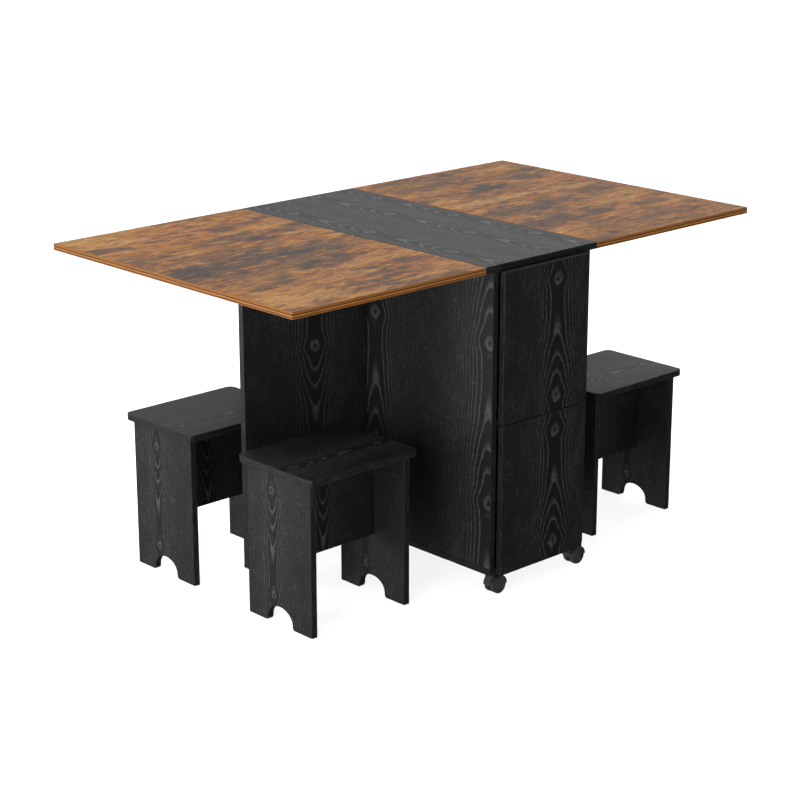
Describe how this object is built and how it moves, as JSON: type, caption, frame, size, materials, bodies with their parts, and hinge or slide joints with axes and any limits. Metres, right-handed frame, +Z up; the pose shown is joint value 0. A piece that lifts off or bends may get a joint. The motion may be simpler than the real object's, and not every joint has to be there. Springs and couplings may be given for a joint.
{
  "type": "folding table with stools",
  "caption": "Drop-leaf table on a wheeled storage cabinet with doors. Gates swing out to hold the leaves, and stools stand under them or pack into the cabinet.",
  "frame": {"origin": "on the floor, under the middle of the cabinet, which is the middle of the open table", "axes": "+X from the left leaf to the right leaf, +Y along the cabinet away from the near doors, +Z up"},
  "size_m": [1.4, 0.831, 0.747],
  "materials": {
    "black_grain": "matt black laminate with a grey ash grain",
    "rustic_brown": "satin laminate in weathered orange brown planks",
    "hinge_steel": "bright zinc plate",
    "caster_hood": "moulded black nylon",
    "caster_wheel": "moulded black nylon with a fine tread"
  },
  "bodies": {
    "root": {"top_strip": "black_grain", "floor_panel": "black_grain", "side_panel_left": "black_grain", "side_panel_right": "black_grain", "cross_panel": "black_grain", "shelf_near": "black_grain", "shelf_far": "black_grain", "leaf_hinge_left_fixed": "hinge_steel", "leaf_hinge_right_fixed": "hinge_steel", "gate_hinge_left_fixed": "hinge_steel", "gate_hinge_right_fixed": "hinge_steel", "door_hinge_near_lower_fixed": "hinge_steel", "door_hinge_near_upper_fixed": "hinge_steel", "door_hinge_far_lower_fixed": "hinge_steel", "door_hinge_far_upper_fixed": "hinge_steel"},
    "leaf_left": {"leaf_left": "rustic_brown", "leaf_hinge_left_moving": "hinge_steel"},
    "leaf_right": {"leaf_right": "rustic_brown", "leaf_hinge_right_moving": "hinge_steel"},
    "gate_left": {"gate_left": "black_grain", "gate_hinge_left_moving": "hinge_steel"},
    "gate_right": {"gate_right": "black_grain", "gate_hinge_right_moving": "hinge_steel"},
    "door_near_lower": {"door_near_lower": "black_grain", "door_hinge_near_lower_moving": "hinge_steel"},
    "door_near_upper": {"door_near_upper": "black_grain", "door_hinge_near_upper_moving": "hinge_steel"},
    "door_far_lower": {"door_far_lower": "black_grain", "door_hinge_far_lower_moving": "hinge_steel"},
    "door_far_upper": {"door_far_upper": "black_grain", "door_hinge_far_upper_moving": "hinge_steel"},
    "stool_near_left": {"stool_near_left_seat": "black_grain", "stool_near_left_leg_left": "black_grain", "stool_near_left_leg_right": "black_grain", "stool_near_left_apron": "black_grain"},
    "stool_near_right": {"stool_near_right_seat": "black_grain", "stool_near_right_leg_left": "black_grain", "stool_near_right_leg_right": "black_grain", "stool_near_right_apron": "black_grain"},
    "stool_far_left": {"stool_far_left_seat": "black_grain", "stool_far_left_leg_left": "black_grain", "stool_far_left_leg_right": "black_grain", "stool_far_left_apron": "black_grain"},
    "stool_far_right": {"stool_far_right_seat": "black_grain", "stool_far_right_leg_left": "black_grain", "stool_far_right_leg_right": "black_grain", "stool_far_right_apron": "black_grain"},
    "swivel_near_left": {"caster_near_left_hood": "caster_hood"},
    "swivel_near_right": {"caster_near_right_hood": "caster_hood"},
    "swivel_far_left": {"caster_far_left_hood": "caster_hood"},
    "swivel_far_right": {"caster_far_right_hood": "caster_hood"},
    "swivel_gate_left": {"caster_gate_left_hood": "caster_hood"},
    "swivel_gate_right": {"caster_gate_right_hood": "caster_hood"},
    "wheels_near_left": {"caster_near_left_wheels": "caster_wheel"},
    "wheels_near_right": {"caster_near_right_wheels": "caster_wheel"},
    "wheels_far_left": {"caster_far_left_wheels": "caster_wheel"},
    "wheels_far_right": {"caster_far_right_wheels": "caster_wheel"},
    "wheels_gate_left": {"caster_gate_left_wheels": "caster_wheel"},
    "wheels_gate_right": {"caster_gate_right_wheels": "caster_wheel"}
  },
  "joints": [
    {"name": "leaf_left_lift", "type": "hinge", "parent": "root", "child": "leaf_left", "pos_m": [-0.171, 0, 0.7293], "axis": [0, 1, 0], "range_deg": [0, 5]},
    {"name": "leaf_right_lift", "type": "hinge", "parent": "root", "child": "leaf_right", "pos_m": [0.171, 0, 0.7293], "axis": [0, -1, 0], "range_deg": [0, 5]},
    {"name": "gate_left_swing", "type": "hinge", "parent": "root", "child": "gate_left", "pos_m": [-0.1527, 0.0102, 0.38905], "axis": [0, 0, -1], "range_deg": [0, 90]},
    {"name": "gate_right_swing", "type": "hinge", "parent": "root", "child": "gate_right", "pos_m": [0.1527, 0.0102, 0.38905], "axis": [0, 0, 1], "range_deg": [0, 90]},
    {"name": "door_near_lower_swing", "type": "hinge", "parent": "root", "child": "door_near_lower", "pos_m": [0.1331, -0.3986, 0.2295], "axis": [0, 0, 1], "range_deg": [0, 90]},
    {"name": "door_near_upper_swing", "type": "hinge", "parent": "root", "child": "door_near_upper", "pos_m": [0.1331, -0.3986, 0.5695], "axis": [0, 0, 1], "range_deg": [0, 90]},
    {"name": "door_far_lower_swing", "type": "hinge", "parent": "root", "child": "door_far_lower", "pos_m": [-0.1331, 0.3986, 0.2295], "axis": [0, 0, 1], "range_deg": [0, 90]},
    {"name": "door_far_upper_swing", "type": "hinge", "parent": "root", "child": "door_far_upper", "pos_m": [-0.1331, 0.3986, 0.5695], "axis": [0, 0, 1], "range_deg": [0, 90]},
    {"name": "stool_near_left_slide", "type": "slide", "parent": "root", "child": "stool_near_left", "axis": [0, -1, 0], "range_m": [0, 0.42]},
    {"name": "stool_near_right_slide", "type": "slide", "parent": "root", "child": "stool_near_right", "axis": [0, -1, 0], "range_m": [0, 0.42]},
    {"name": "stool_far_left_slide", "type": "slide", "parent": "root", "child": "stool_far_left", "axis": [0, 1, 0], "range_m": [0, 0.42]},
    {"name": "stool_far_right_slide", "type": "slide", "parent": "root", "child": "stool_far_right", "axis": [0, 1, 0], "range_m": [0, 0.42]},
    {"name": "caster_near_left_swivel", "type": "hinge", "parent": "root", "child": "swivel_near_left", "pos_m": [-0.128, -0.38, 0.052], "axis": [0, 0, 1], "continuous": true},
    {"name": "caster_near_right_swivel", "type": "hinge", "parent": "root", "child": "swivel_near_right", "pos_m": [0.128, -0.38, 0.052], "axis": [0, 0, 1], "continuous": true},
    {"name": "caster_far_left_swivel", "type": "hinge", "parent": "root", "child": "swivel_far_left", "pos_m": [-0.128, 0.38, 0.052], "axis": [0, 0, 1], "continuous": true},
    {"name": "caster_far_right_swivel", "type": "hinge", "parent": "root", "child": "swivel_far_right", "pos_m": [0.128, 0.38, 0.052], "axis": [0, 0, 1], "continuous": true},
    {"name": "caster_gate_left_swivel", "type": "hinge", "parent": "gate_left", "child": "swivel_gate_left", "pos_m": [-0.4175, 0, 0.052], "axis": [0, 0, 1], "continuous": true},
    {"name": "caster_gate_right_swivel", "type": "hinge", "parent": "gate_right", "child": "swivel_gate_right", "pos_m": [0.4175, 0, 0.052], "axis": [0, 0, 1], "continuous": true},
    {"name": "caster_near_left_roll", "type": "hinge", "parent": "swivel_near_left", "child": "wheels_near_left", "pos_m": [-0.112, -0.38, 0.02], "axis": [0, 1, 0], "continuous": true},
    {"name": "caster_near_right_roll", "type": "hinge", "parent": "swivel_near_right", "child": "wheels_near_right", "pos_m": [0.144, -0.38, 0.02], "axis": [0, 1, 0], "continuous": true},
    {"name": "caster_far_left_roll", "type": "hinge", "parent": "swivel_far_left", "child": "wheels_far_left", "pos_m": [-0.112, 0.38, 0.02], "axis": [0, 1, 0], "continuous": true},
    {"name": "caster_far_right_roll", "type": "hinge", "parent": "swivel_far_right", "child": "wheels_far_right", "pos_m": [0.144, 0.38, 0.02], "axis": [0, 1, 0], "continuous": true},
    {"name": "caster_gate_left_roll", "type": "hinge", "parent": "swivel_gate_left", "child": "wheels_gate_left", "pos_m": [-0.4015, 0, 0.02], "axis": [0, 1, 0], "continuous": true},
    {"name": "caster_gate_right_roll", "type": "hinge", "parent": "swivel_gate_right", "child": "wheels_gate_right", "pos_m": [0.4335, 0, 0.02], "axis": [0, 1, 0], "continuous": true}
  ],
  "couplings": [
    {"joint": "stool_far_left_slide", "follows": "gate_left_swing", "m_per_rad": 0.267},
    {"joint": "stool_far_right_slide", "follows": "gate_right_swing", "m_per_rad": 0.267}
  ]
}
